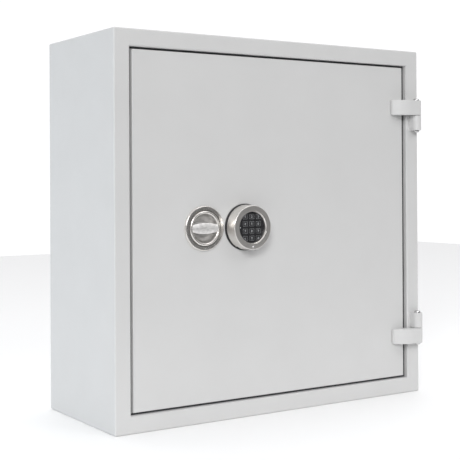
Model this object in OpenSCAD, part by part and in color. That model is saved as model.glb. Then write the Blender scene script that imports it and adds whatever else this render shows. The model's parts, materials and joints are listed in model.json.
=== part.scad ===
// Wall safe: a sheet steel case with a flush door on outside hinges, a recessed turn handle that throws
// bolts on three sides, and a round electronic keypad that is turned to work the lock.
// Millimetres. The origin is the centre of the wall anchor holes, on the back face; +X is to the right as
// the safe is looked at, +Y goes into the wall and +Z is up.

/* [Case] */
// Outside width of the case
case_w = 700; // [680:10:800]
// Outside height of the case
case_h = 700; // [680:10:800]
// Depth of the case, without its hinges and keypad
case_d = 270; // [250:5:320]
// Thickness of the case's sheet steel
wall = 3; // [2:0.5:4]
// Width of the front face round the door
face_w = 31; // [28:1:32]
// Distance between the anchor holes in the back
anchor_pitch = 520; // [400:10:600]
// Diameter of the anchor holes
anchor_d = 14; // [10:1:16]

/* [Door] */
// Gap between the door plate and the front face, at the sides
side_gap = 7; // [5:0.5:7]
// Gap between the door plate and the front face, above and below
end_gap = 4; // [3:0.5:6]
// How far the door plate lies behind the front face
door_recess = 5; // [4:0.5:6]
// Thickness of the door plate
door_t = 6; // [4:0.5:6]

/* [Hinges] */
// Height of each hinge's middle above or below the case's middle
hinge_z = 217.2; // [180:0.2:240]
// Radius of the hinge barrels
barrel_r = 10; // [9:0.5:10]
// Radius of the hinge pins
pin_r = 6.5; // [5:0.5:6.5]
// Height of a door strap, and of a case knuckle with its washer
strap_h = 30; // [24:1:34]

/* [Handle] */
// Middle of the handle, from the case's middle
handle_x = -167.5; // [-175:0.5:-167]
// Travel of the locking bolts over a quarter turn
bolt_travel = 18; // [14:1:18]
// Radius of the locking bolts
bolt_r = 9; // [7:0.5:9]

/* [Keypad] */
// Middle of the keypad, from the case's middle
keypad_x = -79.5; // [-81:0.5:-76]
// Sideways pitch of the keys
key_pitch_x = 14.4; // [13.6:0.2:14.8]
// Upright pitch of the keys
key_pitch_z = 13.2; // [12.4:0.2:13.6]
// Travel of a key
key_travel = 0.8; // [0.5:0.1:0.8]

/* [Hidden] */
$fn = 64;
e = 1;                                 // extra length of a cutting tool
running = 0.08;                        // radial clearance of a turning fit
loose = 0.3;                           // clearance of a sliding or hand-fitted part
front = -case_d;                       // the front face's plane

// Depths behind the front face. A negative depth stands in front of it.
plate_v = door_recess;                 // front of the door plate
plate_back_v = plate_v + door_t;
stop_v = plate_back_v + 1;             // front of the door stop
strike_v = 35;                         // back of the door frame, which the bolts bear on
hard_v = 20;                           // drill-resistant plate
carrier_v = 24;                        // plate that carries the bolt work
carrier_t = 3;
disc_v = carrier_v + carrier_t + 1.3;  // drive disc
disc_t = 5;
bar_v = disc_v + disc_t + 0.7;         // bolt bars and rods
bar_t = 5;
bolt_v = 45.5;                         // axis of the moving bolts
fixed_v = 46.6;                        // axis of the fixed bolts
lining_v = 57;                         // front of the door's inner lining
lining_t = 1.5;

door_edge = case_w / 2 - face_w - side_gap;  // half width of the door plate
door_rise = case_h / 2 - face_w - end_gap;   // half height of the door plate

// Insets from the case's outside, towards the door's middle
frame_in = face_w + 11;                // inner edge of the door frame
box_in = frame_in + 10;                // outside of the door's inner box
box_t = 2;
box_w = case_w / 2 - box_in;           // half width of that box
box_h = case_h / 2 - box_in;

// Hinge axis
axis_x = case_w / 2 - 13;
axis_y = front - barrel_r - 0.4;
washer_t = 1;
foot = 6;                              // thickness of a strap's free end

// Bolt work
pin_r0 = 20;                           // drive pins' distance from the spindle, bolts withdrawn
drive_pin_r = 4;
bar_w = 20;
side_bar_w = 24;
pin_tip_v = disc_v + 0.5;              // front end of the drive pins
disc_r = pin_r0 + bolt_travel + 18;
bolt_len = 52;
bolt_out = 6;                          // how far a withdrawn bolt stands out of the door's box
bar_edge = 20;                         // a bar's end, from the box's inside, with the bolts withdrawn
side_bolt_z = [-200, 0, 200];
spindle_r = 6;
spindle_sq = 8.4;
bush_r = 9;

// Lock
lock_x0 = handle_x + disc_r + 1.5;     // left side of the lock case
lock_l = 89;
lock_h = 63;
lock_t = 25;
lock_wall = 2.5;
lock_v = carrier_v + carrier_t;
lock_bolt_w = 25;
lock_bolt_t = 8;
lock_bolt_v = lock_v + lock_wall + 0.2;
lock_throw = 9;
lock_pin_r = 2.5;
lock_pin_r0 = 9;
key_spindle_r = 4;
cam_v = lock_bolt_v + lock_bolt_t + 1;
cam_t = 3;
cam_r = lock_pin_r0 + lock_throw + lock_pin_r + 3;
plunger_r = 2;
plunger_travel = 4;
plunger_x = keypad_x + cam_r + 0.5;    // tip of the withdrawn plunger
plunger_l = 18;
coil_v = cam_v + cam_t / 2;            // axis of the solenoid and its plunger
coil_r = 6;
coil_x0 = plunger_x + 6.5;
coil_l = 21;
cable_r = 1.5;
cable_bend = 3;                        // radius of the cable's bends

// Handle
cup_r = 31.9;                          // outside of the turning cup
rosette_r = 41;
rosette_flat = 38.7;                   // outer radius of the rosette's flat front
rosette_v = plate_v - 4.5;
lip_r = 2.8;                           // radius of the cup's rounded lip
bowl_r = 26.4;                         // radius of the bowl's mouth
bowl_v = 15.5;                         // bottom of the bowl
cup_t = 2;
grip_r = 94;                           // radius of the grip's long edges
grip_h = 20;                           // height of the grip at its middle
grip_v = -1.2;                         // front of the grip

// Keypad
base_r = 43.1;
base_v = plate_v - 4;                  // front of the keypad's base ring
knob_r = 41.4;                         // housing, at its back
knob_front_r = 40.3;                   // housing, at its front
knob_v = -24;                          // front of the housing
knob_edge = 2.5;                       // radius of the housing's front edge
knob_t = 2.5;
bezel_r = 30.4;                        // bezel's inner edge
face_r = 29.3;                         // keypad face
face_v = -18.5;                        // front of the keypad face
mat_v = -16;
key_w = 11.8;
key_h = 10.4;
key_corner = 1.6;
key_clip_r = 27.6;                     // the outer keys are cut off at this radius
key_top_v = face_v - 1;
key_back_v = mat_v - key_travel - 0.1;
mat_t = 1.5;
board_v = mat_v + mat_t;
board_t = 1.6;
board_r = knob_front_r - knob_t - 1.5;
led_at = 24.6;                         // indicator light's hole, from the keypad's middle
led_r = 1.1;
keys = ["1", "2", "3", "4", "5", "6", "7", "8", "9", "star", "0", "hash"];

// Fittings inside the case
shelf_z = [115, -115];
shelf_t = 1.5;
shelf_v0 = 78;
shelf_v1 = case_d - wall - 12;
shelf_lip = 20;
rail_w = 18;
rail_t = 5;
rail_vs = [100, case_d - 45];
screw_r = 2;

KEY_NODES = [for (k = keys) str("key_", k)];

// Colours
paint = [0.81, 0.81, 0.81];
zinc = [0.72, 0.73, 0.72];
satin = [0.66, 0.65, 0.63];
black = [0.06, 0.06, 0.07];

// ---- Helpers ----

// Extrudes a shape drawn as seen from the front, from depth v0 to depth v1.
module plate(v0, v1)
    translate([0, front + v1, 0]) rotate([90, 0, 0]) linear_extrude(v1 - v0) children();

// A block between two opposite corners given as [x, z], from depth v0 to depth v1.
module slab(a, b, v0, v1)
    translate([a.x, front + v0, a.y]) cube([b.x - a.x, v1 - v0, b.y - a.y]);

// The case's outline as seen from the front, moved inwards.
module outline(inset) square([case_w - 2 * inset, case_h - 2 * inset], center = true);

// A frame of sheet between two insets.
module ring(inset0, inset1, v0, v1)
    plate(v0, v1) difference() {
        outline(inset0);
        outline(inset1);
    }

// A profile of [radius, depth] points turned about an axis through the door at x.
module turned(x) translate([x, front, 0]) rotate([-90, 0, 0]) rotate_extrude() children();

// A round bar or hole along the depth.
module round_y(x, z, r, v0, v1)
    translate([x, front + v0, z]) rotate([-90, 0, 0]) cylinder(h = v1 - v0, r = r);

// Repeats its children above and mirrored below the case's middle.
module above_and_below() {
    children();
    mirror([0, 0, 1]) children();
}

function arc(c, r, a0, a1, n = 8) =
    [for (i = [0 : n]) let (a = a0 + (a1 - a0) * i / n) c + r * [cos(a), sin(a)]];

// Outline of a slot that moves a pin evenly outwards as its disc turns a quarter turn.
// The pin stands at the angle at, its distance from the axis grows from r0 by travel.
function spiral_slot(at, r0, travel, half_w, n = 24) =
    let (
        angles = [for (i = [0 : n]) at - 90 * i / n],
        path = [for (i = [0 : n]) (r0 + travel * i / n) * [cos(angles[i]), sin(angles[i])]],
        run = [for (i = [0 : n])
            let (a = angles[i], r = r0 + travel * i / n,
                 t = travel / (PI / 2) * [cos(a), sin(a)] + r * [sin(a), -cos(a)]) t / norm(t)],
        side = [for (t = run) [-t.y, t.x]]
    )
    concat(
        [for (i = [0 : n]) path[i] + half_w * side[i]],
        [for (a = [15 : 15 : 165]) path[n] + half_w * (cos(a) * side[n] + sin(a) * run[n])],
        [for (i = [n : -1 : 0]) path[i] - half_w * side[i]],
        [for (a = [15 : 15 : 165]) path[0] - half_w * (cos(a) * side[0] + sin(a) * run[0])]);

// ---- Case ----

module case_shell() {
    color(paint) union() {
        ring(0, wall, 0, case_d);
        ring(0, face_w, 0, wall);
        ring(face_w - wall, face_w, 0, stop_v);
    }
}

// Folded frame behind the front face: door stop, side wall and the flange that the bolts bear on.
module door_frame() {
    color(paint) union() {
        ring(face_w - wall, frame_in, stop_v, stop_v + wall);
        ring(frame_in - wall, frame_in, stop_v, strike_v);
        ring(wall, frame_in, strike_v - wall, strike_v);
    }
}

module back_panel() {
    color(paint) plate(case_d - wall, case_d) difference() {
        outline(wall);
        for (x = [-1, 1], z = [-1, 1]) translate([x, z] * anchor_pitch / 2) circle(d = anchor_d);
    }
}

// Slotted strips on the side walls that hold the shelf clips.
module shelf_rails() {
    rail_h = case_h - 120;
    slot_pitch = 23;
    slots = floor((rail_h / 2 - 20) / slot_pitch);
    color(zinc) for (side = [-1, 1], v = rail_vs) difference() {
        x = side * (case_w / 2 - wall - rail_t / 2);
        half = rail_t / 2;
        slab([x - half, -rail_h / 2], [x + half, rail_h / 2], v - rail_w / 2, v + rail_w / 2);
        for (i = [-slots : slots])
            slab([x - half - e, i * slot_pitch - 2], [x + half + e, i * slot_pitch + 2], v - 5, v + 5);
    }
}

// Angle clips under the shelves' ends, one on each strip.
module shelf_clips() {
    clip_w = 8;
    clip_t = 1.5;
    tongue = 12;
    color(zinc) for (side = [-1, 1], v = rail_vs, z = shelf_z) {
        inner = case_w / 2 - wall - rail_t;
        top = z - shelf_t;
        mirror([side > 0 ? 0 : 1, 0, 0]) union() {
            slab([inner - tongue, top - clip_t], [inner, top], v - clip_w / 2, v + clip_w / 2);
            slab([inner - clip_t, top - 14], [inner, top], v - clip_w / 2, v + clip_w / 2);
        }
    }
}

module shelf(z) {
    half = case_w / 2 - wall - rail_t - 1.5;
    color(paint) union() {
        slab([-half, z - shelf_t], [half, z], shelf_v0, shelf_v1);
        for (v = [shelf_v0, shelf_v1 - shelf_t])
            slab([-half + 22, z - shelf_lip], [half - 22, z], v, v + shelf_t);
    }
}

// ---- Hinges ----

strap_z0 = hinge_z + washer_t / 2;

// Barrel welded to the front face, below the upper strap and above the lower one.
module case_knuckles() {
    color(paint) above_and_below() translate([axis_x, axis_y, strap_z0 - washer_t - strap_h])
        linear_extrude(strap_h) difference() {
            union() {
                circle(barrel_r);
                translate([-barrel_r, 0]) square([2 * barrel_r, front - axis_y]);
            }
            circle(pin_r + 0.02);
        }
}

module hinge_pins() {
    proud = 4.5;
    dome = 3.5;
    length = 2 * strap_h + washer_t + 2 * proud;
    color(satin) above_and_below() translate([axis_x, axis_y, strap_z0 + strap_h + proud - length])
        rotate_extrude() polygon(concat(
            [[0, 0]],
            arc([pin_r - dome, dome], dome, -90, 0),
            arc([pin_r - dome, length - dome], dome, 0, 90),
            [[0, length]]));
}

module hinge_washers() {
    color(satin) above_and_below() translate([axis_x, axis_y, strap_z0 - washer_t])
        difference() {
            cylinder(h = washer_t, r = barrel_r - 0.5);
            translate([0, 0, -e]) cylinder(h = washer_t + 2 * e, r = pin_r + running);
        }
}

// Wedge-shaped strap: it lies on the door plate, rises past the front face and ends in a barrel.
module hinge_strap() {
    surface = front + plate_v;
    tip = axis_x - 57;
    crown = axis_x - 37;
    crown_y = axis_y - barrel_r + 0.3;
    clear = front - 2;
    color(paint) difference() {
        union() {
            translate([axis_x, axis_y, strap_z0]) cylinder(h = strap_h, r = barrel_r);
            translate([0, 0, strap_z0]) linear_extrude(strap_h) polygon([
                [axis_x, crown_y], [crown, crown_y], [tip, surface - foot], [tip, surface],
                [door_edge - 3, surface], [door_edge + 3, clear], [axis_x, clear]]);
        }
        translate([axis_x, axis_y, strap_z0 - e]) cylinder(h = strap_h + 2 * e, r = pin_r + running);
    }
}

module upper_hinge_strap() hinge_strap();

module lower_hinge_strap() mirror([0, 0, 1]) hinge_strap();

// ---- Door ----

module door_plate() {
    color(paint) plate(plate_v, plate_back_v) difference() {
        square([2 * door_edge, 2 * door_rise], center = true);
        translate([handle_x, 0]) circle(cup_r + 1.1);
        translate([keypad_x, 0]) circle(8);
    }
}

// Folded box behind the door plate, with bolt holes in its sides and a flange for the lining.
module door_box() {
    flange = 14;
    hole_r = bolt_r + loose;
    color(paint) difference() {
        union() {
            ring(box_in, box_in + box_t, plate_back_v, lining_v);
            ring(box_in, box_in + flange, lining_v - box_t, lining_v);
        }
        for (z = side_bolt_z) translate([-box_w - e, front + bolt_v, z]) rotate([0, 90, 0])
            cylinder(h = box_t + 2 * e, r = hole_r);
        above_and_below() translate([handle_x, front + bolt_v, box_h - box_t - e])
            cylinder(h = box_t + 2 * e, r = hole_r);
        for (z = side_bolt_z) translate([box_w - box_t - e, front + fixed_v, z]) rotate([0, 90, 0])
            cylinder(h = box_t + 2 * e, r = bolt_r - 1);
        lining_screw_places() round_y(0, 0, screw_r + 0.1, lining_v - box_t - e, lining_v + e);
    }
}

module lining_screw_places() {
    reach = box_w - 8;
    rise = box_h - 8;
    for (x = [-reach, 0, reach], z = [-rise, rise]) translate([x, 0, z]) children();
    for (x = [-reach, reach], z = [-100, 100]) translate([x, 0, z]) children();
}

module door_lining() {
    color(paint) difference() {
        plate(lining_v, lining_v + lining_t) outline(box_in + 1);
        lining_screw_places() round_y(0, 0, screw_r + 0.1, lining_v - e, lining_v + lining_t + e);
    }
}

module lining_screws() {
    head_v = lining_v + lining_t;
    color(zinc) lining_screw_places() difference() {
        union() {
            round_y(0, 0, screw_r, head_v - 8, head_v);
            round_y(0, 0, 2 * screw_r, head_v, head_v + 2);
        }
        for (a = [0, 90]) rotate([0, a, 0]) slab([-2.4, -0.5], [2.4, 0.5], head_v + 1, head_v + 3);
    }
}

// Plate that carries the bolt work and the lock. A leg folded forward stands on the door plate.
module boltwork_plate() {
    right = lock_x0 + lock_l + 12;
    rise = 110;
    color(zinc) difference() {
        union() {
            slab([-box_w + box_t, -rise], [right, rise], carrier_v, carrier_v + carrier_t);
            slab([right - carrier_t, -rise], [right, rise], plate_back_v, carrier_v + carrier_t);
        }
        round_y(handle_x, 0, bush_r, carrier_v - e, carrier_v + carrier_t + e);
        round_y(keypad_x, 0, key_spindle_r + 2, carrier_v - e, carrier_v + carrier_t + e);
    }
}

module hard_plate() {
    color([0.35, 0.35, 0.37]) plate(hard_v, carrier_v) difference() {
        translate([handle_x - 52, -70]) square([keypad_x - handle_x + 104, 140]);
        translate([handle_x, 0]) circle(bush_r);
        translate([keypad_x, 0]) circle(key_spindle_r + 2);
    }
}

// Brackets on the door plate that guide the rods, and the side bar above and below its arm.
module rod_guides() {
    depth = 14;
    back_v = bar_v + bar_t + 3;
    room = 0.4;
    rod_place = box_h - 100;
    bar_place = 150;
    bar_x = -box_w + box_t + bar_edge;
    color(zinc) above_and_below() {
        guide([handle_x - 19, rod_place], [handle_x + 19, rod_place + depth],
              [handle_x - bar_w / 2 - room, handle_x + bar_w / 2 + room]);
        guide([bar_x - bolt_travel - 2, bar_place], [bar_x + side_bar_w + 6, bar_place + depth],
              [bar_x - bolt_travel - room, bar_x + side_bar_w + room]);
    }

    module guide(a, b, window) difference() {
        slab(a, b, plate_back_v, back_v);
        slab([a.x + 3, a.y - e], [b.x - 3, b.y + e], plate_back_v - e, bar_v - room - 3);
        slab([window.x, a.y - e], [window.y, b.y + e], bar_v - room, bar_v + bar_t + room);
    }
}

// Bolts welded into the hinge side of the box: they hold the door in if the hinges are cut off.
module fixed_bolts() {
    r = bolt_r - 1;
    chamfer = 1.5;
    inner = box_w - box_t - 12;
    shoulder = case_w / 2 - 36 - chamfer;
    color(satin) for (z = side_bolt_z) translate([0, front + fixed_v, z]) rotate([0, 90, 0]) {
        translate([0, 0, inner]) cylinder(h = shoulder - inner, r = r);
        translate([0, 0, shoulder]) cylinder(h = chamfer, r1 = r, r2 = r - chamfer);
    }
}

// ---- Handle ----

// Fixed ring round the cup. Its front rolls away to a thin edge on the door.
module handle_rosette() {
    edge = 0.8;
    roll = [rosette_r - rosette_flat, plate_v - edge - rosette_v];
    color(satin) turned(handle_x) polygon(concat(
        [[cup_r + loose, rosette_v]],
        [for (a = [0 : 15 : 90]) [rosette_flat + roll.x * sin(a), plate_v - edge - roll.y * cos(a)]],
        [[rosette_r, plate_v], [cup_r + loose, plate_v]]));
}

lip_centre = [cup_r - lip_r, lip_r - 1.6];

// Half section of the bowl's hollow: straight sides run into a round corner and a flat bottom.
bowl_corner = 12;
bowl_hollow = concat(
    [[0, bowl_v]], arc([bowl_r - 1 - bowl_corner, bowl_v - bowl_corner], bowl_corner, 90, 0),
    [[bowl_r, 1]]);

module handle_cup() {
    skirt_v = plate_v + 2;
    color(satin) turned(handle_x) polygon(concat(
        bowl_hollow,
        arc(lip_centre, lip_r, 180, 360),
        [[cup_r, skirt_v]],
        arc([bowl_r - 1 - bowl_corner, bowl_v - bowl_corner], bowl_corner + cup_t, 0, 90),
        [[0, bowl_v + cup_t]]));
}

// The grip's ends run up the inside of the cup's lip.
module handle_grip() {
    lip_top = 180 + asin((lip_centre.y - grip_v) / lip_r);
    color(satin) intersection() {
        turned(handle_x) polygon(concat(bowl_hollow, arc(lip_centre, lip_r, 180, lip_top), [[0, grip_v]]));
        plate(grip_v - e, bowl_v + e) translate([handle_x, 0]) intersection() {
            translate([0, grip_h / 2 - grip_r]) circle(grip_r, $fn = 128);
            translate([0, grip_r - grip_h / 2]) circle(grip_r, $fn = 128);
        }
    }
}

module handle_spindle() {
    back = bowl_v + cup_t;
    sq = spindle_sq / 2;
    color(zinc) union() {
        round_y(handle_x, 0, bush_r, back, hard_v - 0.5);
        round_y(handle_x, 0, spindle_r, back, disc_v);
        slab([handle_x - sq, -sq], [handle_x + sq, sq], disc_v, disc_v + disc_t);
        round_y(handle_x, 0, 4, disc_v, bar_v + bar_t + 4);
    }
}

module spindle_bush() {
    color([0.75, 0.6, 0.3]) difference() {
        union() {
            round_y(handle_x, 0, bush_r, hard_v, carrier_v + carrier_t);
            round_y(handle_x, 0, bush_r + 3, carrier_v + carrier_t, disc_v - 0.3);
        }
        round_y(handle_x, 0, spindle_r + running, hard_v - e, disc_v + e);
    }
}

// Disc with a spiral slot for each bolt's drive pin, and two notches in its rim for the lock's bolt:
// one faces the lock when the bolts are withdrawn, the other when they are thrown.
module drive_disc() {
    notch = lock_throw + 1.5;
    half = lock_bolt_w / 2 + 0.7;
    color(zinc) plate(disc_v, disc_v + disc_t) translate([handle_x, 0]) difference() {
        circle(disc_r);
        for (at = [90, 180, 270]) polygon(spiral_slot(at, pin_r0, bolt_travel, drive_pin_r + loose));
        square(spindle_sq + 0.05, center = true);
        for (a = [0, -90]) rotate(a) translate([disc_r - notch, -half]) square([2 * notch, 2 * half]);
    }
}

module spindle_nut() {
    color(zinc) plate(disc_v + disc_t, bar_v + bar_t) translate([handle_x, 0]) difference() {
        circle(7.5, $fn = 6);
        circle(4);
    }
}

// ---- Moving bolts ----

bar_reach = box_w - box_t - bar_edge;  // outer edge of the side bar, from the case's middle
rod_reach = box_h - box_t - bar_edge;

// A bolt along +Z with its tip chamfered. Its inner end has a flat that lies on a bar.
module bolt(tip) {
    chamfer = 2;
    flat = bolt_len - box_t - bar_edge - bolt_out + 0.5;
    color(satin) translate([0, front + bolt_v, tip - bolt_len]) difference() {
        union() {
            cylinder(h = bolt_len - chamfer, r = bolt_r);
            translate([0, 0, bolt_len - chamfer]) cylinder(h = chamfer, r1 = bolt_r, r2 = bolt_r - chamfer);
        }
        translate([-bolt_r - e, -bolt_r - e, -e])
            cube([2 * bolt_r + 2 * e, bar_v + bar_t - bolt_v + bolt_r + e, e + flat]);
    }
}

module left_bolts() {
    for (z = side_bolt_z) translate([0, 0, z]) rotate([0, -90, 0]) bolt(box_w + bolt_out);
}

module left_bolt_bar() {
    rise = 225;
    arm = bar_w / 2;
    color(zinc) union() {
        slab([-bar_reach, -rise], [-bar_reach + side_bar_w, rise], bar_v, bar_v + bar_t);
        slab([-bar_reach, -arm], [handle_x - pin_r0 + 8, arm], bar_v, bar_v + bar_t);
        round_y(handle_x - pin_r0, 0, drive_pin_r, pin_tip_v, bar_v + bar_t);
    }
}

module rod() {
    color(zinc) union() {
        slab([handle_x - bar_w / 2, pin_r0 - 8], [handle_x + bar_w / 2, rod_reach], bar_v, bar_v + bar_t);
        round_y(handle_x, pin_r0, drive_pin_r, pin_tip_v, bar_v + bar_t);
    }
}

module top_rod() rod();

module bottom_rod() mirror([0, 0, 1]) rod();

module top_bolt() translate([handle_x, 0, 0]) bolt(box_h + bolt_out);

module bottom_bolt() mirror([0, 0, 1]) top_bolt();

// ---- Lock ----

module lock_case() {
    a = [lock_x0, -lock_h / 2];
    b = [lock_x0 + lock_l, lock_h / 2];
    half = lock_bolt_w / 2 + 0.2;
    color([0.55, 0.55, 0.56]) difference() {
        slab(a, b, lock_v, lock_v + lock_t);
        slab(a + [lock_wall, lock_wall], b - [lock_wall, lock_wall], lock_v + lock_wall, lock_v + lock_t + e);
        slab([lock_x0 - e, -half], [lock_x0 + lock_wall + e, half],
             lock_bolt_v - 0.2, lock_bolt_v + lock_bolt_t + 0.2);
        round_y(keypad_x, 0, key_spindle_r + running, lock_v - e, lock_v + lock_wall + e);
    }
    color([0.55, 0.55, 0.56]) lock_screw_places() difference() {
        round_y(0, 0, 4, lock_v + lock_wall, lock_v + lock_t);
        round_y(0, 0, 1.6, lock_v + lock_t - 12, lock_v + lock_t + e);
    }
}

module lock_screw_places() {
    corner = 7;
    for (x = [lock_x0 + corner, lock_x0 + lock_l - corner], z = [-1, 1] * (lock_h / 2 - corner))
        translate([x, 0, z]) children();
}

module lock_cover() {
    color([0.6, 0.6, 0.61]) difference() {
        slab([lock_x0, -lock_h / 2], [lock_x0 + lock_l, lock_h / 2], lock_v + lock_t, lock_v + lock_t + 1.5);
        lock_screw_places() round_y(0, 0, 1.7, lock_v + lock_t - e, lock_v + lock_t + 3);
    }
}

module lock_screws() {
    head_v = lock_v + lock_t + 1.5;
    color(zinc) lock_screw_places() {
        round_y(0, 0, 1.5, head_v - 10, head_v);
        round_y(0, 0, 3, head_v, head_v + 1.6);
    }
}

// The lock's bolt, drawn back into the lock, with the pin that the cam moves.
module lock_bolt() {
    half = lock_bolt_w / 2;
    inner = keypad_x - key_spindle_r - 1.5;
    pin_x = keypad_x - lock_pin_r0;
    color([0.75, 0.62, 0.34]) union() {
        slab([lock_x0 + 0.3, -half], [inner, half], lock_bolt_v, lock_bolt_v + lock_bolt_t);
        round_y(pin_x, 0, lock_pin_r, lock_bolt_v, cam_v + cam_t);
    }
}

// Cam on the keypad's spindle. The plunger drops into a notch in its rim at either end of its turn.
module lock_cam() {
    depth = plunger_travel + 0.5;
    half = plunger_r + 0.6;
    color(zinc) plate(cam_v, cam_v + cam_t) translate([keypad_x, 0]) difference() {
        circle(cam_r);
        polygon(spiral_slot(180, lock_pin_r0, lock_throw, lock_pin_r + 0.2));
        circle(key_spindle_r);
        for (a = [0, -90]) rotate(a) translate([cam_r - depth, -half]) square([2 * depth, 2 * half]);
    }
}

// Solenoid in a block that stands on the lock case's floor, with a blind bore for its plunger.
module lock_solenoid() {
    color([0.6, 0.35, 0.2]) difference() {
        union() {
            slab([coil_x0, -coil_r], [coil_x0 + coil_l, coil_r], lock_v + lock_wall, coil_v);
            along_x(coil_x0, coil_r, coil_l);
        }
        along_x(coil_x0 - e, plunger_r + running, coil_l - 5 + e);
    }
}

module lock_plunger() {
    color(satin) union() {
        along_x(plunger_x, plunger_r, plunger_l);
        along_x(coil_x0 - 1.5, plunger_r + 1.2, 1.2);
    }
}

// A round bar on the solenoid's axis, from x0 towards +X.
module along_x(x0, r, length)
    translate([x0, front + coil_v, 0]) rotate([0, 90, 0]) cylinder(h = length, r = r);

// ---- Keypad ----

module keypad_base() {
    color(black) turned(keypad_x) polygon([
        [9, base_v], [base_r - 1, base_v], [base_r, base_v + 1], [base_r, plate_v], [9, plate_v]]);
}

// Hollow housing: tapered side, rounded front edge and a bezel that slopes in to the face.
// A notch in its back rim takes a tool, to lever it off for a change of cells.
module keypad_housing() {
    back_v = base_v - 0.4;
    inner_r = knob_front_r - knob_t;
    taper = atan2(knob_r - knob_front_r, back_v - knob_v);
    notch_at = -115;
    notch_w = 8;
    notch_depth = 4;
    color(satin) difference() {
        turned(keypad_x) polygon(concat(
            [[knob_r, back_v]],
            arc([knob_front_r - knob_edge, knob_v + knob_edge], knob_edge, -taper, -90),
            [[bezel_r, knob_v], [face_r, face_v], [face_r, mat_v], [inner_r, mat_v], [inner_r, back_v]]));
        translate([keypad_x, front, 0]) rotate([0, -notch_at, 0])
            translate([inner_r - e, back_v - notch_depth, -notch_w / 2])
                cube([knob_r, notch_depth + e, notch_w]);
    }
}

function key_place(i) = [(i % 3 - 1) * key_pitch_x, (1.5 - floor(i / 3)) * key_pitch_z];

// Outline of key number i, or of its window when it is grown. Keys near the rim are cut off round.
module key_outline(i, grow = 0) {
    half = [key_w, key_h] / 2 + [grow, grow];
    r = key_corner + grow;
    translate([keypad_x, 0]) intersection() {
        translate(key_place(i)) polygon(concat(
            arc(half - [r, r], r, 0, 90, 4), arc([r - half.x, half.y - r], r, 90, 180, 4),
            arc([r, r] - half, r, 180, 270, 4), arc([half.x - r, r - half.y], r, 270, 360, 4)));
        circle(key_clip_r + grow);
    }
}

module keypad_face() {
    color(black) difference() {
        plate(face_v, mat_v) translate([keypad_x, 0]) circle(face_r - 0.05);
        for (i = [0 : 11]) plate(face_v - e, mat_v + e) key_outline(i, 0.3);
        round_y(keypad_x - led_at, 0, led_r, face_v - e, mat_v + e);
    }
}

module keypad_key(i) {
    color([0.1, 0.1, 0.11]) plate(key_top_v, key_back_v) key_outline(i);
}

module keypad_mat() {
    color([0.15, 0.15, 0.15]) turned(keypad_x) translate([0, mat_v]) square([board_r, mat_t]);
}

module keypad_board() {
    color([0.1, 0.3, 0.18]) turned(keypad_x) translate([0, board_v]) square([board_r, board_t]);
}

module keypad_cells() {
    cell_r = 5.2;
    cell_l = 44;
    color([0.3, 0.3, 0.32]) for (z = [-13, 13])
        translate([keypad_x - cell_l / 2, front + board_v + board_t + cell_r + 0.05, z])
            rotate([0, 90, 0]) cylinder(h = cell_l, r = cell_r);
}

// Hollow, so that the cable to the lock runs along the axis that the keypad turns on.
module keypad_spindle() {
    back = cam_v + cam_t + 2;
    color(zinc) difference() {
        round_y(keypad_x, 0, key_spindle_r, board_v + board_t, back);
        round_y(keypad_x, 0, cable_r + 0.7, board_v + board_t - e, back + e);
    }
}

// Cable from the board, out of the spindle's end, over the cam and down into the solenoid.
module keypad_cable() {
    turn_v = cam_v + cam_t + 4.8;
    run_v = turn_v + cable_bend;
    end_x = coil_x0 + coil_l / 2;
    $fn = 12;
    color([0.2, 0.2, 0.2]) union() {
        round_y(keypad_x, 0, cable_r, board_v + board_t + 0.1, turn_v);
        translate([keypad_x + cable_bend, front + turn_v, 0]) bend(90);
        translate([keypad_x + cable_bend, front + run_v, 0]) rotate([0, 90, 0])
            cylinder(h = end_x - keypad_x - 2 * cable_bend, r = cable_r);
        translate([end_x - cable_bend, front + turn_v, 0]) bend(0);
        round_y(end_x, 0, cable_r, coil_v + coil_r, turn_v);
    }

    module bend(from)
        rotate(from) rotate_extrude(angle = 90) translate([cable_bend, 0]) circle(cable_r);
}

// ---- Nodes ----

case_shell();
door_frame();
back_panel();
shelf_rails();
shelf_clips();
shelf(shelf_z[0]);  // upper_shelf
shelf(shelf_z[1]);  // lower_shelf
case_knuckles();
hinge_pins();
hinge_washers();
door_plate();
door_box();
door_lining();
lining_screws();
boltwork_plate();
hard_plate();
rod_guides();
fixed_bolts();
upper_hinge_strap();
lower_hinge_strap();
handle_rosette();
spindle_bush();
keypad_base();
lock_case();
lock_cover();
lock_screws();
lock_solenoid();
keypad_cable();
handle_cup();
handle_grip();
handle_spindle();
drive_disc();
spindle_nut();
left_bolt_bar();
left_bolts();
top_rod();
top_bolt();
bottom_rod();
bottom_bolt();
keypad_housing();
keypad_face();
keypad_mat();
keypad_board();
keypad_cells();
keypad_spindle();
lock_cam();
lock_bolt();
lock_plunger();
for (i = [0 : 11]) keypad_key(i);
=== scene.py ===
import json
import math

import bmesh
import bpy
from mathutils import Matrix, Vector


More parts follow.
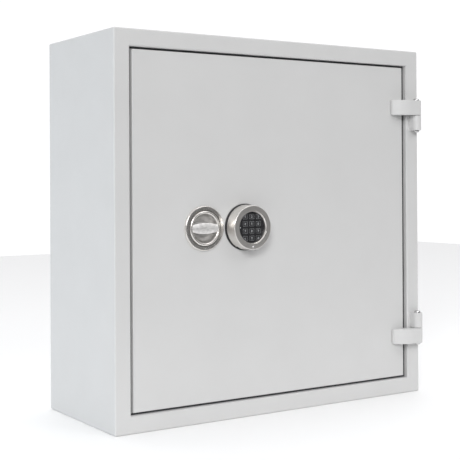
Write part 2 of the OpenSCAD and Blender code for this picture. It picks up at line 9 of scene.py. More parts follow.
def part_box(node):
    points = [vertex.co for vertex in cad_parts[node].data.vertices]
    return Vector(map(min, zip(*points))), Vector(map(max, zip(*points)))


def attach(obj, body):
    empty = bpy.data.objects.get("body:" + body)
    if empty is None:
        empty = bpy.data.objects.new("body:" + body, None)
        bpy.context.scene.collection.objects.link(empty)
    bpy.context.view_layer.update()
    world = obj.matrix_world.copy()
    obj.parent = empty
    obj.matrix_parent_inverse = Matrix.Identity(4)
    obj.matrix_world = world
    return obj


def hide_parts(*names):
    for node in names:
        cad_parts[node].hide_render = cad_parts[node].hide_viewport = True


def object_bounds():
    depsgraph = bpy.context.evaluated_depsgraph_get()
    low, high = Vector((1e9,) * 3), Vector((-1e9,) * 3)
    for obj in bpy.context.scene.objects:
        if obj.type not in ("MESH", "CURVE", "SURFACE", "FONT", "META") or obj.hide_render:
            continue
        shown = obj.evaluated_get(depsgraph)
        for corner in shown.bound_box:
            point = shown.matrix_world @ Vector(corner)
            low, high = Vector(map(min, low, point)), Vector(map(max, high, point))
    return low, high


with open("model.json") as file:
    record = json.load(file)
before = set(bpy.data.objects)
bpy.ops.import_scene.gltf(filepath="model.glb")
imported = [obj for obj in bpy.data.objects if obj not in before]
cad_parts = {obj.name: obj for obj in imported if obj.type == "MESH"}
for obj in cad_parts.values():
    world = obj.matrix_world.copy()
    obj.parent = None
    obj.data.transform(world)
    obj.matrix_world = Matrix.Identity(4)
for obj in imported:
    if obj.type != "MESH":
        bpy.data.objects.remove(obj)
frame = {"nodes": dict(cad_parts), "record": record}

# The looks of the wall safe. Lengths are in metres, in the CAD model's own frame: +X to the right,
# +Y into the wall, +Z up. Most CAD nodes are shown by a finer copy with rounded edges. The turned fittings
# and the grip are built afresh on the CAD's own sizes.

MM = 0.001
CAD_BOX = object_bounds()
RECORD = frame["record"]
BODY_OF = {n: body for body, nodes in RECORD["behaviour"]["bodies"].items() for n in nodes}
SLOT_OF = {part["node"]: part["material_slot"] for part in RECORD["subparts"]}


# ---- Places and sizes, from the frame ----

BOX = {node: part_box(node) for node in BODY_OF}


def centre(node):
    lo, hi = BOX[node]
    return (lo + hi) / 2


def half_width(node):
    lo, hi = BOX[node]
    return (hi.x - lo.x) / 2


HANDLE_X = centre("handle_rosette").x
KEYPAD_X = centre("keypad_base").x


# ---- Materials ----

class Surface:
    """A procedural material: a Principled shader, and short ways to feed its sockets from textures."""

    def __init__(self, name, color, roughness, metallic=0.0, **sockets):
        self.material = bpy.data.materials.new(name)
        self.material.use_nodes = True
        self.tree = self.material.node_tree
        self.shader = self.tree.nodes["Principled BSDF"]
        self.color = color
        self.roughness = roughness
        self.shader.inputs["Base Color"].default_value = (*color, 1.0)
        self.shader.inputs["Roughness"].default_value = roughness
        self.shader.inputs["Metallic"].default_value = metallic
        for socket, value in sockets.items():
            self.shader.inputs[socket.replace("_", " ")].default_value = value
        self.place = self.node("ShaderNodeTexCoord").outputs["Object"]
        self.last_bump = None

    def node(self, kind, **values):
        made = self.tree.nodes.new(kind)
        for name, value in values.items():
            setattr(made, name, value)
        return made

    def join(self, output, socket):
        self.tree.links.new(output, socket)

    def maths(self, operation, a, b=0.0):
        made = self.node("ShaderNodeMath", operation=operation)
        for value, socket in ((a, made.inputs[0]), (b, made.inputs[1])):
            if isinstance(value, (int, float)):
                socket.default_value = value
            else:
                self.join(value, socket)
        return made.outputs[0]

    def stretched(self, scale, at=(0, 0, 0)):
        """Object coordinates, moved so that a point is the origin and then scaled along each axis."""
        made = self.node("ShaderNodeMapping", vector_type="POINT")
        made.inputs["Location"].default_value = [-a * s for a, s in zip(at, scale)]
        made.inputs["Scale"].default_value = scale
        self.join(self.place, made.inputs["Vector"])
        return made.outputs["Vector"]

    def turned(self, x, z, pitch):
        """Coordinates that change only with the distance from an axis along Y, as lathe marks do."""
        split = self.node("ShaderNodeSeparateXYZ")
        self.join(self.stretched((1, 1, 1), (x, 0, z)), split.inputs[0])
        radius = self.maths("SQRT", self.maths("ADD",
                            self.maths("POWER", split.outputs["X"], 2.0),
                            self.maths("POWER", split.outputs["Z"], 2.0)))
        angle = self.maths("ARCTAN2", split.outputs["Z"], split.outputs["X"])
        made = self.node("ShaderNodeCombineXYZ")
        self.join(self.maths("MULTIPLY", radius, 1 / pitch), made.inputs["X"])
        self.join(self.maths("MULTIPLY", split.outputs["Y"], 1 / pitch), made.inputs["Y"])
        self.join(self.maths("MULTIPLY", angle, 1.5), made.inputs["Z"])
        return made.outputs[0]

    def noise(self, scale, detail=3.0, place=None):
        """A noise of about that size in metres, or of size 1 in the given coordinates."""
        made = self.node("ShaderNodeTexNoise")
        made.inputs["Scale"].default_value = 1.0 if place else 1 / scale
        made.inputs["Detail"].default_value = detail
        self.join(place or self.place, made.inputs["Vector"])
        return made.outputs["Fac"]

    def cells(self, size):
        made = self.node("ShaderNodeTexVoronoi")
        made.inputs["Scale"].default_value = 1 / size
        self.join(self.place, made.inputs["Vector"])
        return made.outputs["Color"]

    def tint(self, factor, low, high):
        """Base colour that runs from low to high as factor does from 0.3 to 0.7."""
        made = self.node("ShaderNodeValToRGB")
        made.color_ramp.elements[0].position = 0.3
        made.color_ramp.elements[1].position = 0.7
        made.color_ramp.elements[0].color = (*low, 1.0)
        made.color_ramp.elements[1].color = (*high, 1.0)
        self.join(factor, made.inputs["Fac"])
        self.join(made.outputs["Color"], self.shader.inputs["Base Color"])
        return self

    def shade(self, factor, spread):
        """The base colour, lighter and darker by a share as factor varies."""
        low, high = ([c * k for c in self.color] for k in (1 - spread, 1 + spread))
        return self.tint(factor, low, high)

    def vary_roughness(self, factor, spread):
        made = self.node("ShaderNodeMapRange")
        made.inputs["From Min"].default_value = 0.3
        made.inputs["From Max"].default_value = 0.7
        made.inputs["To Min"].default_value = self.roughness - spread
        made.inputs["To Max"].default_value = self.roughness + spread
        self.join(factor, made.inputs["Value"])
        self.join(made.outputs["Result"], self.shader.inputs["Roughness"])
        return self

    def bump(self, factor, height):
        """Relief of that height in metres. Each call adds to the last."""
        made = self.node("ShaderNodeBump")
        made.inputs["Distance"].default_value = height
        self.join(factor, made.inputs["Height"])
        if self.last_bump:
            self.join(self.last_bump, made.inputs["Normal"])
        self.last_bump = made.outputs["Normal"]
        self.join(self.last_bump, self.shader.inputs["Normal"])
        return self


def powder_coat():
    """Satin paint with the faint orange peel of a baked powder coat."""
    s = Surface("case_paint", (0.60, 0.60, 0.598), 0.40)
    s.shade(s.noise(90 * MM), 0.012)
    s.vary_roughness(s.noise(14 * MM), 0.03)
    s.bump(s.noise(1.6 * MM, 2.0), 0.006 * MM)
    return s.bump(s.noise(0.35 * MM, 2.0), 0.002 * MM)


def turned_metal(name, x, color, roughness):
    """Nickel with fine marks round an axis."""
    s = Surface(name, color, roughness, metallic=1.0)
    marks = s.noise(0, 4.0, s.turned(x, 0, 0.25 * MM))
    s.shade(marks, 0.05)
    s.vary_roughness(marks, 0.05)
    return s.bump(marks, 0.0005 * MM)


def drawn_metal(name, color, roughness, grain, spread=0.06, height=0.002 * MM):
    """Metal with marks along one axis: grain gives the marks' size along X, Y and Z."""
    s = Surface(name, color, roughness, metallic=1.0)
    marks = s.noise(0, 4.0, s.stretched([1 / g for g in grain]))
    s.shade(marks, spread)
    s.vary_roughness(marks, 0.06)
    return s.bump(marks, height)


def zinc():
    """Zinc plate: dull metal with soft pale and dark patches."""
    s = Surface("zinc_plated", (0.50, 0.51, 0.50), 0.42, metallic=1.0)
    s.tint(s.noise(9 * MM, 4.0), (0.42, 0.43, 0.43), (0.60, 0.60, 0.57))
    s.vary_roughness(s.noise(4 * MM), 0.09)
    return s.bump(s.noise(0.6 * MM), 0.003 * MM)


def moulded(name, color, roughness, grain, height, **sockets):
    """Plastic, rubber or a casting with a fine all-over grain."""
    s = Surface(name, color, roughness, **sockets)
    s.shade(s.noise(6 * MM), 0.12)
    s.vary_roughness(s.noise(2.5 * MM), 0.06)
    return s.bump(s.noise(grain, 2.0), height)


def board():
    """Green solder mask with the faint relief of tracks."""
    s = Surface("circuit_board", (0.02, 0.12, 0.05), 0.35)
    s.tint(s.cells(2.5 * MM), (0.015, 0.09, 0.04), (0.03, 0.17, 0.07))
    return s.bump(s.cells(2.5 * MM), 0.03 * MM)


NICKEL = (0.80, 0.775, 0.745)

# By the record's material slot. The last three aren't slots of the record. They are the inside of the
# handle's cup, darker as painted shade in its hollow, the keys' print, and a dark strip that paints the
# shade deep in the door's gap, on pieces whose slot is handle_metal or key_rubber.
SURFACES = {
    "case_paint": powder_coat(),
    "zinc_plated": zinc(),
    "pin_steel": drawn_metal("pin_steel", (0.62, 0.62, 0.62), 0.16, (2 * MM, 2 * MM, 0.2 * MM)),
    "bolt_chrome": drawn_metal("bolt_chrome", (0.66, 0.66, 0.67), 0.14, [0.3 * MM] * 3, 0.03),
    "hard_steel": drawn_metal("hard_steel", (0.10, 0.10, 0.11), 0.5, (0.4 * MM, 3 * MM, 9 * MM), 0.2),
    "handle_metal": turned_metal("handle_metal", HANDLE_X, NICKEL, 0.28),
    "handle_satin": moulded("handle_satin", (0.86, 0.85, 0.84), 0.55, 0.5 * MM, 0.003 * MM, Metallic=1.0),
    "keypad_metal": turned_metal("keypad_metal", KEYPAD_X, NICKEL, 0.36),
    "brass": drawn_metal("brass", (0.60, 0.42, 0.17), 0.30, (0.2 * MM, 2 * MM, 2 * MM)),
    "lock_casting": moulded("lock_casting", (0.38, 0.38, 0.39), 0.5, 0.8 * MM, 0.02 * MM, Metallic=1.0),
    "black_plastic": moulded("black_plastic", (0.014, 0.014, 0.016), 0.42, 0.3 * MM, 0.01 * MM),
    "key_rubber": moulded("key_rubber", (0.017, 0.017, 0.019), 0.6, 0.25 * MM, 0.008 * MM),
    "solenoid": moulded("solenoid", (0.05, 0.08, 0.14), 0.5, 0.5 * MM, 0.03 * MM),
    "cable": moulded("cable", (0.03, 0.03, 0.03), 0.45, 0.4 * MM, 0.005 * MM),
    "circuit_board": board(),
    "cell_sleeve": moulded("cell_sleeve", (0.07, 0.07, 0.08), 0.2, 1 * MM, 0.001 * MM),
    "indicator": moulded("indicator", (0.55, 0.57, 0.58), 0.15, 1 * MM, 0.001 * MM),
    "legend": moulded("legend", (0.88, 0.88, 0.88), 0.5, 0.3 * MM, 0.002 * MM),
    # Painted shade: the bowl's metal is darker than the grip's to stand for the shade inside the cup's
    # hollow.
    "bowl": moulded("bowl", (0.55, 0.54, 0.53), 0.5, 0.5 * MM, 0.003 * MM, Metallic=1.0),
    "print": moulded("print", (0.40, 0.41, 0.42), 0.5, 0.3 * MM, 0.002 * MM),
    # Painted shade: the near-black strip in the door's gap stands in for the gap's deep shadow.
    "gap_shade": moulded("gap_shade", (0.05, 0.05, 0.055), 0.7, 0.4 * MM, 0.01 * MM),
}


# ---- Mesh building ----

WELD = 0.001 * MM         # points nearer than this are one point
NEAR = 0.01 * MM          # how exactly a point has to lie on a plane


def placed(name, bm, slot, body, *nodes):
    """Makes the piece from its mesh, and says what it is made of, what it moves with and what it shows."""
    mesh = bpy.data.meshes.new(name)
    bm.normal_update()
    bm.to_mesh(mesh)
    bm.free()
    piece = bpy.data.objects.new(name, mesh)
    bpy.context.scene.collection.objects.link(piece)
    mesh.materials.append(SURFACES[slot].material)
    mesh.shade_smooth()
    mesh.set_sharp_from_angle(angle=math.radians(38))
    normals = piece.modifiers.new("Even normals", "WEIGHTED_NORMAL")
    normals.keep_sharp = True
    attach(piece, body)
    if nodes:
        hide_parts(*nodes)
    return piece


def node_mesh(node):
    """The CAD node's mesh, welded, with each flat face in one piece."""
    bm = bmesh.new()
    bm.from_mesh(frame["nodes"][node].data)
    bmesh.ops.remove_doubles(bm, verts=bm.verts, dist=WELD)
    bmesh.ops.dissolve_limit(bm, angle_limit=math.radians(0.3), verts=bm.verts, edges=bm.edges)
    return bm


def sharp_edges(bm, least=30):
    return [e for e in bm.edges if len(e.link_faces) == 2
            and e.calc_face_angle(0.0) > math.radians(least)]


def round_edges(bm, edges, radius, segments=3):
    bmesh.ops.bevel(bm, geom=edges, offset=radius, offset_type="OFFSET", segments=segments,
                    profile=0.5, affect="EDGES", clamp_overlap=True)


def softened(node, radius):
    """A copy of a CAD node with its sharp edges rounded."""
    bm = node_mesh(node)
    if radius:
        round_edges(bm, sharp_edges(bm), radius)
    placed(f"{node}_shown", bm, SLOT_OF[node], BODY_OF[node], node)


def rounded_outline(corners, steps=5):
    """A closed outline from (u, v, radius) corners, with each corner turned into an arc."""
    out = []
    for i, (u, v, radius) in enumerate(corners):
        here = Vector((u, v))
        before = (Vector(corners[i - 1][:2]) - here).normalized()
        after = (Vector(corners[(i + 1) % len(corners)][:2]) - here).normalized()
        if not radius:
            out.append(here)
            continue
        half = before.angle(after) / 2
        middle = here + (before + after).normalized() * radius / math.sin(half)
        start = here + before * radius / math.tan(half) - middle
        end = here + after * radius / math.tan(half) - middle
        sweep = start.angle_signed(end)
        out += [middle + Matrix.Rotation(-sweep * k / steps, 2) @ start for k in range(steps + 1)]
    return out


def lathe(outline, x, z=0.0, segments=160, cut=None):
    """The solid that a closed outline of (distance from the axis, Y) points sweeps round an axis along Y.

    cut is (first angle, last angle, other outline): between those angles the other outline is swept,
    which has its points in the same order."""
    step = 2 * math.pi / segments
    stations = [(k * step, outline) for k in range(segments)]
    if cut:
        first, last, other = cut
        stations = [(a, other if first < a < last else outline) for a, _ in stations]
        stations += [(first, outline), (first, other), (last, other), (last, outline)]
        stations.sort(key=lambda s: s[0])
    bm = bmesh.new()
    rows = [[bm.verts.new((x + r * math.cos(a), y, z + r * math.sin(a))) for r, y in points]
            for a, points in stations]
    for row, following in zip(rows, rows[1:] + rows[:1]):
        for i in range(len(outline)):
            bm.faces.new((row[i - 1], row[i], following[i], following[i - 1]))
    bmesh.ops.remove_doubles(bm, verts=bm.verts, dist=WELD)
    bmesh.ops.dissolve_degenerate(bm, edges=bm.edges, dist=WELD)
    bmesh.ops.recalc_face_normals(bm, faces=bm.faces)
    return bm


# ---- Case and door ----

BEND = 2.9 * MM           # outer radius where the case's sheet is folded
ROLL = 1.8 * MM           # radius along the front of the door plate


def bent_case():
    """The outer shell, with the rounder bends of folded sheet along its sides, round its front and
    round the door's opening."""
    bm = node_mesh("case_shell")
    lo, hi = BOX["case_shell"]

    def outside(v):
        """Whether the point is on an outer edge: on two or three of the box's planes."""
        return sum(min(abs(c - a), abs(c - b)) < NEAR for c, a, b in zip(v.co, lo, hi)) >= 2

    def at_y(e, y):
        return all(abs(v.co.y - y) < NEAR for v in e.verts)

    edges = sharp_edges(bm)
    bends = [e for e in edges if all(map(outside, e.verts)) and not at_y(e, hi.y)]
    bends += [e for e in edges if e not in bends and at_y(e, lo.y)]
    round_edges(bm, bends, BEND, 6)
    small = [e for e in sharp_edges(bm, 60) if e.calc_length() > 20 * MM]
    round_edges(bm, small, 0.5 * MM, 2)
    placed("case_shell_shown", bm, "case_paint", "case", "case_shell")


# How far the edges of each node are rounded. Nodes that aren't here get FINE_EDGE.
FINE_EDGE = 0.2 * MM
EDGES = {
    "door_frame": 0.6 * MM, "back_panel": 0.5 * MM, "upper_shelf": 0.5 * MM, "lower_shelf": 0.5 * MM,
    "door_box": 0.5 * MM, "door_lining": 0.5 * MM, "case_knuckles": 0.7 * MM, "hinge_pins": 0.0,
    "boltwork_plate": 0.4 * MM, "hard_plate": 0.5 * MM, "rod_guides": 0.4 * MM, "left_bolt_bar": 0.6 * MM,
    "top_rod": 0.6 * MM, "bottom_rod": 0.6 * MM, "lock_case": 0.8 * MM, "lock_cover": 0.4 * MM,
    "spindle_bush": 0.3 * MM, "keypad_mat": 0.3 * MM, "keypad_cable": 0.0,
}
KEYS = [n for n in BODY_OF if n.startswith("key_")]
STRAPS = ["upper_hinge_strap", "lower_hinge_strap"]
# The nodes that have a function of their own.
BUILT = ["case_shell", "door_plate", *STRAPS, "handle_rosette", "handle_cup", "handle_grip",
         "keypad_base", "keypad_housing", *KEYS]


def door_plate():
    """The door plate, with rounder edges along its front."""
    bm = node_mesh("door_plate")
    front = BOX["door_plate"][0].y
    rolled = [e for e in sharp_edges(bm) if e.calc_length() > 100 * MM
              and all(abs(v.co.y - front) < NEAR for v in e.verts)]
    round_edges(bm, rolled, ROLL, 5)
    placed("door_plate_shown", bm, "case_paint", "door", "door_plate")


def gap_shade_strip():
    """Dark rubber strip in the bottom of the gap round the door, where it lies on the door stop. It is
    painted shade: its near-black colour stands in for the gap's deep shadow.

    Its section is drawn as (share of its width from the opening's edge, Y) and swept round the corners."""
    shell = frame["nodes"]["case_shell"].data.vertices
    opening_x, opening_z = (min(abs(v.co[axis]) for v in shell) for axis in (0, 2))
    door = BOX["door_plate"][1]
    fill = 0.72
    width_x = fill * (opening_x - door.x)
    width_z = fill * (opening_z - door.z)
    back = BOX["door_frame"][0].y
    shoulder = 1.6 * MM
    crown = 0.9 * MM
    section = [(0, back), *((0.5 - 0.5 * math.cos(a), back - shoulder - crown * math.sin(a))
                            for a in (math.pi * k / 10 for k in range(11))), (1, back)]
    bm = bmesh.new()
    rows = [[bm.verts.new((side * (opening_x - u * width_x), y, rise * (opening_z - u * width_z)))
             for u, y in section] for side, rise in ((1, 1), (-1, 1), (-1, -1), (1, -1))]
    for row, following in zip(rows, rows[1:] + rows[:1]):
        for i in range(len(section)):
            bm.faces.new((row[i - 1], row[i], following[i], following[i - 1]))
    bmesh.ops.recalc_face_normals(bm, faces=bm.faces)
    piece = placed("gap_shade_strip", bm, "key_rubber", "case")
    # The strip's near-black colour is painted shade for the gap round the door.
    piece.data.materials[0] = SURFACES["gap_shade"].material


STRAP_CROWN = 17 * MM     # rounding where the strap's slope meets its flat part
STRAP_TIP = 2.2 * MM      # rounding of the strap's free end
STRAP_EDGE = 0.8 * MM


def hinge_strap(node):
    """A door strap, whose slope runs into its flat part in a wide curve."""
    bm = node_mesh(node)
    lo = BOX[node][0]
    front = [e for e in sharp_edges(bm, 10) if all(abs(v.co.y - lo.y) < 0.5 * MM for v in e.verts)]
    crown = [e for e in front if abs(e.verts[0].co.x - e.verts[1].co.x) < NEAR
             and e.verts[0].co.x < centre(node).x]
    round_edges(bm, crown, STRAP_CROWN, 12)
    tip = [e for e in sharp_edges(bm, 25) if all(v.co.x < lo.x + 0.1 * MM for v in e.verts)]
    round_edges(bm, tip, STRAP_TIP, 4)
    round_edges(bm, sharp_edges(bm), STRAP_EDGE)
    placed(f"{node}_shown", bm, "case_paint", "door", node)


def plain_nodes():
    """Every node that has no function of its own."""
    for node in BODY_OF:
        if node not in BUILT:
            softened(node, EDGES.get(node, FINE_EDGE))


# ---- Handle ----

LIP_R = 2.8 * MM          # radius of the cup's rounded lip
BOWL_CORNER = 12 * MM     # radius of the bowl's bottom corner
BOWL_DRAFT = 1 * MM       # how much narrower the bowl is inside than at its mouth
CUP_WALL = 2 * MM
CUP_SIDE = 6 * MM         # straight part of the cup's outside, behind the lip


def cup_sizes():
    """The Y of the cup's front and of the bowl's floor, and the radii of the lip's middle and the mouth."""
    lo, hi = BOX["handle_cup"]
    lip_r = half_width("handle_cup") - LIP_R
    return lo.y, hi.y - CUP_WALL, lip_r, lip_r - LIP_R + 0.1 * MM


def arc(u, v, radius, first, last, steps):
    """Points on an arc round (u, v), from the first angle to the last in degrees."""
    angles = (math.radians(first + (last - first) * k / steps) for k in range(steps + 1))
    return [(u + radius * math.cos(a), v + radius * math.sin(a)) for a in angles]


def handle_cup():
    """The turning cup, with a rounded lip and a rougher bowl, whose darker colour is painted shade in the
    hollow.
    """
    front, floor, lip_at, mouth = cup_sizes()
    outer = half_width("handle_cup")
    corner = mouth - BOWL_DRAFT - BOWL_CORNER
    outline = [(0, floor), *arc(corner, floor - BOWL_CORNER, BOWL_CORNER, 90, 0, 14),
               *arc(lip_at, front + LIP_R, LIP_R, 180, 360, 20),
               (outer, front + LIP_R + CUP_SIDE),
               *arc(corner, floor - BOWL_CORNER, BOWL_CORNER + CUP_WALL, 0, 90, 10),
               (0, floor + CUP_WALL)]
    bm = lathe(outline, HANDLE_X)
    for f in bm.faces:
        place = f.calc_center_median()
        inside = math.hypot(place.x - HANDLE_X, place.z) < lip_at
        # Faces inside the bowl take the darker bowl material, which is painted shade in the hollow.
        f.material_index = 1 if inside and front + LIP_R < place.y < floor + 0.1 * MM else 0
    piece = placed("handle_cup_shown", bm, "handle_metal", "handle", "handle_cup")
    piece.data.materials.append(SURFACES["bowl"].material)


def handle_rosette():
    """The fixed ring round the cup, with a rolled outer edge and a groove beside the cup."""
    lo, hi = BOX["handle_rosette"]
    outer = half_width("handle_rosette")
    inner = half_width("handle_cup") + 0.3 * MM
    groove_width = 0.8 * MM
    groove_depth = 3 * MM
    flat = outer - 2.3 * MM       # radius where the roll begins
    roll_back = hi.y - 0.8 * MM
    roll = [(flat + (outer - flat) * math.sin(a), roll_back - (roll_back - lo.y) * math.cos(a))
            for a in (math.radians(9 * k) for k in range(11))]
    outline = [(inner, lo.y + groove_depth), (inner + groove_width, lo.y), *roll,
               (outer, hi.y), (inner, hi.y)]
    placed("handle_rosette_shown", lathe(outline, HANDLE_X), "handle_metal", "door", "handle_rosette")


def bowl_depth(radius):
    """Where the bowl's surface lies, as a Y, at that distance from the handle's axis."""
    front, floor, lip_at, mouth = cup_sizes()
    corner = mouth - BOWL_DRAFT - BOWL_CORNER
    if radius <= corner:
        return floor
    if radius < mouth - BOWL_DRAFT:
        return floor - BOWL_CORNER + math.sqrt(BOWL_CORNER ** 2 - (radius - corner) ** 2)
    rise = min(1.0, (lip_at - radius) / LIP_R)
    return front + LIP_R - math.sqrt(max(0.0, 1 - rise ** 2)) * LIP_R


def handle_grip():
    """A lens-shaped web across the bowl, its front crowned from top to bottom."""
    lo, hi = BOX["handle_grip"]
    length = (hi.x - lo.x) / 2    # lengths and heights are from the grip's middle
    height = (hi.z - lo.z) / 2
    end_height = 5.75 * MM
    crown = 1.8 * MM
    sunk = 0.2 * MM               # how far the web goes into the bowl's surface
    columns = 48
    rows = 16
    bm = bmesh.new()

    def point(i, j, at_front):
        along = math.sin((i / columns - 0.5) * math.pi)
        across = 2 * j / rows - 1
        x = along * length
        z = across * (height - (height - end_height) * along ** 2)
        deep = bowl_depth(math.hypot(x, z)) + sunk
        shallow = lo.y + crown * across ** 2
        return HANDLE_X + x, (min(shallow, deep) if at_front else deep), z

    grids = [[[bm.verts.new(point(i, j, side)) for j in range(rows + 1)] for i in range(columns + 1)]
             for side in (True, False)]
    for grid in grids:
        for i in range(columns):
            for j in range(rows):
                bm.faces.new((grid[i][j], grid[i + 1][j], grid[i + 1][j + 1], grid[i][j + 1]))
    rim = ([(i, 0) for i in range(columns)] + [(columns, j) for j in range(rows)]
           + [(i, rows) for i in range(columns, 0, -1)] + [(0, j) for j in range(rows, 0, -1)])
    top, bottom = grids
    for (i, j), (k, m) in zip(rim, rim[1:] + rim[:1]):
        bm.faces.new((top[i][j], top[k][m], bottom[k][m], bottom[i][j]))
    bmesh.ops.remove_doubles(bm, verts=bm.verts, dist=WELD)
    bmesh.ops.recalc_face_normals(bm, faces=bm.faces)
    placed("handle_grip_shown", bm, "handle_satin", "handle", "handle_grip")


# ---- Keypad ----

def keypad_base():
    """The black ring that the keypad turns on."""
    lo, hi = BOX["keypad_base"]
    outer = half_width("keypad_base")
    inner = 9 * MM
    outline = rounded_outline([(inner, lo.y, 0.3 * MM), (outer - 0.4 * MM, lo.y, 0.8 * MM),
                               (outer, hi.y, 0.2 * MM), (inner, hi.y, 0)])
    placed("keypad_base_shown", lathe(outline, KEYPAD_X), "black_plastic", "door", "keypad_base")


NOTCH_ANGLES = [math.radians(360 - a) for a in (121, 109)]    # where the notch starts and ends
NOTCH_DEPTH = 4 * MM
SPOT_RISE = 0.3           # height of an index spot, as a share of its radius
INDEX_R = 1.5 * MM        # radius of the keypad's index spot
INDEX_BACK = SPOT_RISE * INDEX_R      # what the bezel is set back by, so the spot stays in the CAD's box


def keypad_housing():
    """Tapered barrel with a bezel that slopes in to the face, and a notch in its back rim for a tool."""
    lo, hi = BOX["keypad_housing"]
    front = lo.y + INDEX_BACK
    back_r = half_width("keypad_housing")
    front_r = back_r - 1.1 * MM
    wall = 2.5 * MM
    face_r = half_width("keypad_face") + 0.05 * MM
    lip_r = face_r - 0.75 * MM
    slope_depth = 2.0 * MM
    slope_width = 0.75 * slope_depth
    face_front, face_back = (c.y for c in BOX["keypad_face"])
    lip_back = face_front - 0.1 * MM
    outline = rounded_outline([
        (back_r, hi.y, 0.5 * MM), (front_r, front, 1.4 * MM), (lip_r + slope_width, front, 0.4 * MM),
        (lip_r, front + slope_depth, 0.2 * MM), (lip_r, lip_back, 0), (face_r, lip_back, 0),
        (face_r, face_back, 0), (front_r - wall, face_back, 0), (front_r - wall, hi.y, 0)])
    limit = hi.y - NOTCH_DEPTH
    rim_r = back_r - (back_r - front_r) * NOTCH_DEPTH / (hi.y - lo.y)
    other = [(min(r, rim_r), limit) if y > limit else (r, y) for r, y in outline]
    bm = lathe(outline, KEYPAD_X, segments=192, cut=(*NOTCH_ANGLES, other))
    placed("keypad_housing_shown", bm, "keypad_metal", "keypad", "keypad_housing")


SYMBOLS = {"star": "*", "hash": "#"}
DIGIT_HEIGHT = 4.4 * MM
FONT_HEIGHT = 0.7         # height of the font's digits, as a share of its size
KEY_EDGE = 0.45 * MM      # rounding of a key's rim
RIM = 0.9 * MM            # from a key's edge to its printed outline
LINE = 0.2 * MM           # width of the printed outline
PRINT_RISE = 0.01 * MM    # how far a symbol's middle stands off the key


def digit_mesh(symbol, x, y, z):
    """The symbol's flat shape as a mesh that faces -Y, centred on a place."""
    curve = bpy.data.curves.new(f"symbol_{ord(symbol)}", "FONT")
    curve.body = symbol
    curve.size = DIGIT_HEIGHT / FONT_HEIGHT
    curve.extrude = 0.02 * MM
    writing = bpy.data.objects.new(curve.name, curve)
    bpy.context.scene.collection.objects.link(writing)
    mesh = bpy.data.meshes.new_from_object(writing.evaluated_get(bpy.context.evaluated_depsgraph_get()))
    bpy.data.objects.remove(writing)
    xs, ys = ([v.co[axis] for v in mesh.vertices] for axis in (0, 1))
    middle = Vector(((min(xs) + max(xs)) / 2, (min(ys) + max(ys)) / 2, 0))
    upright = Matrix.Rotation(math.radians(90), 4, "X")
    mesh.transform(Matrix.Translation((x, y, z)) @ upright @ Matrix.Translation(-middle))
    return mesh


def key(node):
    """A rubber key with a rounded rim, and its outline and symbol printed on it."""
    name = node.removeprefix("key_")
    lo = BOX[node][0]
    bm = node_mesh(node)
    face = min(bm.faces, key=lambda f: f.calc_center_median().y)
    round_edges(bm, list(face.edges), KEY_EDGE, 4)
    face = min(bm.faces, key=lambda f: (f.calc_center_median().y, -f.calc_area()))
    bmesh.ops.inset_region(bm, faces=[face], thickness=RIM - KEY_EDGE, use_even_offset=True)
    ring = bmesh.ops.inset_region(bm, faces=[face], thickness=LINE, use_even_offset=True)["faces"]
    for f in ring:
        f.material_index = 1
    first = len(bm.faces)
    x, _, z = centre(node)
    bm.from_mesh(digit_mesh(SYMBOLS.get(name, name), x, lo.y - PRINT_RISE, z))
    bm.faces.ensure_lookup_table()
    for f in bm.faces[first:]:
        f.material_index = 1
    piece = placed(f"{node}_shown", bm, "key_rubber", BODY_OF[node], node)
    piece.data.materials.append(SURFACES["print"].material)


def dot(name, x, z, radius, front, slot, body):
    """A shallow domed spot that stands out of a surface at that Y."""
    height = radius * SPOT_RISE
    back = front + 0.3 * MM
    outline = [(0, back), (radius, back)]
    outline += [(radius * math.cos(a), front - height * math.sin(a))
                for a in (math.radians(10 * k) for k in range(9))] + [(0, front - height)]
    placed(name, lathe(outline, x, z, 32), slot, body)


def marks():
    """The index spots below the keypad and the handle, a painted glint on the handle's ring, and the
    keypad's indicator light.
    """
    bezel_front = BOX["keypad_housing"][0].y + INDEX_BACK
    bezel_middle = (half_width("keypad_housing") + half_width("keypad_face")) / 2 - 0.3 * MM
    dot("keypad_index", KEYPAD_X, -bezel_middle, INDEX_R, bezel_front, "legend", "keypad")
    ring_front = BOX["handle_rosette"][0].y
    ring_middle = (half_width("handle_rosette") + half_width("handle_cup")) / 2
    # The "locked" spot is the ring's index mark. The "open" spot, at the lower right of the ring, is no
    # mark: it is a painted highlight, a light dot that stands in for a glint.
    for spot_name, degrees, radius in (("locked", -90, 1.0 * MM), ("open", -56, 0.7 * MM)):
        angle = math.radians(degrees)
        x = HANDLE_X + ring_middle * math.cos(angle)
        z = ring_middle * math.sin(angle)
        dot(f"handle_index_{spot_name}", x, z, radius, ring_front, "legend", "door")
    light_x = KEYPAD_X - 24.6 * MM
    light_front = BOX["keypad_face"][0].y + 0.1 * MM
    dot("indicator_light", light_x, 0, 1.05 * MM, light_front, "indicator", "keypad")


# ---- Floor, light and camera ----

def floor():
    """A plain pale floor that the safe stands on. It ends a little in front of the safe, and past its end
    the camera sees the white sky."""
    reach = 4.0
    near_edge = -1.0
    bm = bmesh.new()
    corners = [(-reach, near_edge), (reach, near_edge), (reach, reach), (-reach, reach)]
    bm.faces.new([bm.verts.new((x, y, CAD_BOX[0].z)) for x, y in corners])
    mesh = bpy.data.meshes.new("floor")
    bm.to_mesh(mesh)
    bm.free()
    plane = bpy.data.objects.new("floor", mesh)
    bpy.context.scene.collection.objects.link(plane)
    plane.data.materials.append(Surface("floor", (0.93, 0.93, 0.93), 0.7).material)


SKY_LEVEL = 1.06
SKY_COLOR = (1.0, 1.0, 1.01, 1.0)
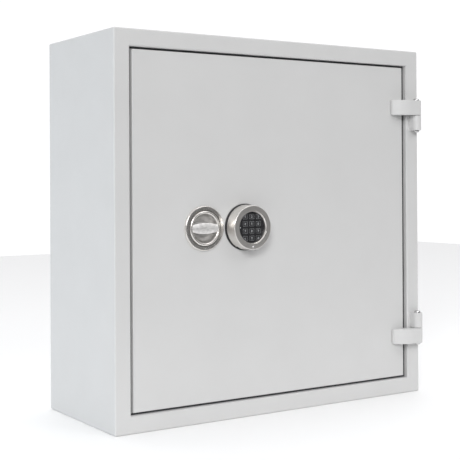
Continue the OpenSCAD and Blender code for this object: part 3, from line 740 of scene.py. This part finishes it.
# What is added to the sky's level: direction, degrees off it where the change begins and is full, amount.
SKY = [
    ((0.1, -0.95, 0.25), 88, 35, -0.66),       # in front, behind the camera
    ((0.563, -0.827, -0.04), 48, 25, -0.26),   # in front at the right
    ((0, 0, 1), 60, 20, 0.34),                 # overhead
    ((-1, 0.1, 0), 75, 25, -0.86),             # at the left
]


def soft_box(name, place, target, size, watts, color=(1, 1, 1)):
    """A square lamp of that size at a place, turned towards a target."""
    light = bpy.data.lights.new(name, "AREA")
    light.size = size
    light.energy = watts
    light.color = color
    lamp = bpy.data.objects.new(name, light)
    bpy.context.scene.collection.objects.link(lamp)
    lamp.location = place
    lamp.rotation_euler = (Vector(target) - Vector(place)).to_track_quat("-Z", "Y").to_euler()


def sky():
    """Soft light from all round: more from overhead, and less from the left and from behind the camera,
    where a studio is dark. Behind the safe it is white."""
    world = bpy.data.worlds.new("studio")
    bpy.context.scene.world = world
    world.use_nodes = True
    nodes, links = world.node_tree.nodes, world.node_tree.links
    direction = nodes.new("ShaderNodeTexCoord").outputs["Generated"]

    def lobe(toward, start, end, amount):
        """From 0 to the amount, as the direction comes from start to end degrees off the given one."""
        cosine = nodes.new("ShaderNodeVectorMath")
        cosine.operation = "DOT_PRODUCT"
        cosine.inputs[1].default_value = Vector(toward).normalized()
        links.new(direction, cosine.inputs[0])
        step = nodes.new("ShaderNodeMapRange")
        step.interpolation_type = "SMOOTHSTEP"
        step.inputs["From Min"].default_value = math.cos(math.radians(start))
        step.inputs["From Max"].default_value = math.cos(math.radians(end))
        step.inputs["To Max"].default_value = amount
        links.new(cosine.outputs["Value"], step.inputs["Value"])
        return step.outputs["Result"]

    total = None
    for toward, start, end, amount in SKY:
        add = nodes.new("ShaderNodeMath")
        add.inputs[0].default_value = SKY_LEVEL
        if total:
            links.new(total, add.inputs[0])
        links.new(lobe(toward, start, end, amount), add.inputs[1])
        total = add.outputs[0]
    links.new(total, nodes["Background"].inputs["Strength"])
    nodes["Background"].inputs["Color"].default_value = SKY_COLOR


def lights():
    """The sky, a large lamp at the left for the shadows, and faint ones for the front and the left side."""
    sky()
    soft_box("key", (-4.0, -5.3, 2.8), (0, -0.27, 0), 2.4, 285)
    soft_box("top", (0.6, -1.7, 1.3), (0.1, -0.27, 0.3), 0.8, 7)
    soft_box("low", (-2.2, 0.2, 0.1), (-0.35, -0.13, -0.3), 1.0, 7, (0.72, 0.88, 1.0))


def camera():
    """Stands to the left of the safe and a little above its middle. It looks almost level, and the picture's
    middle is shifted down from where it looks."""
    place = Vector((-1.1694, -1.8824, 0.0865))
    yaw, pitch, roll = (math.radians(a) for a in (33.211, 0.297, -0.294))
    forward = Vector((math.sin(yaw) * math.cos(pitch), math.cos(yaw) * math.cos(pitch), math.sin(pitch)))
    level = Vector((math.cos(yaw), -math.sin(yaw), 0))
    upright = level.cross(forward)
    right = level * math.cos(roll) + upright * math.sin(roll)
    up = upright * math.cos(roll) - level * math.sin(roll)
    lens = bpy.data.cameras.new("camera")
    lens.sensor_width = 36.0
    lens.lens = 82.56
    lens.shift_y = -0.1201
    eye = bpy.data.objects.new("camera", lens)
    bpy.context.scene.collection.objects.link(eye)
    eye.matrix_world = Matrix.Translation(place) @ Matrix((right, up, -forward)).transposed().to_4x4()
    bpy.context.scene.camera = eye


camera()
floor()
lights()
bpy.context.scene.view_settings.view_transform = "Standard"
bent_case()
door_plate()
gap_shade_strip()
for strap in STRAPS:
    hinge_strap(strap)
plain_nodes()
handle_rosette()
handle_cup()
handle_grip()
keypad_base()
keypad_housing()
for key_node in KEYS:
    key(key_node)
marks()
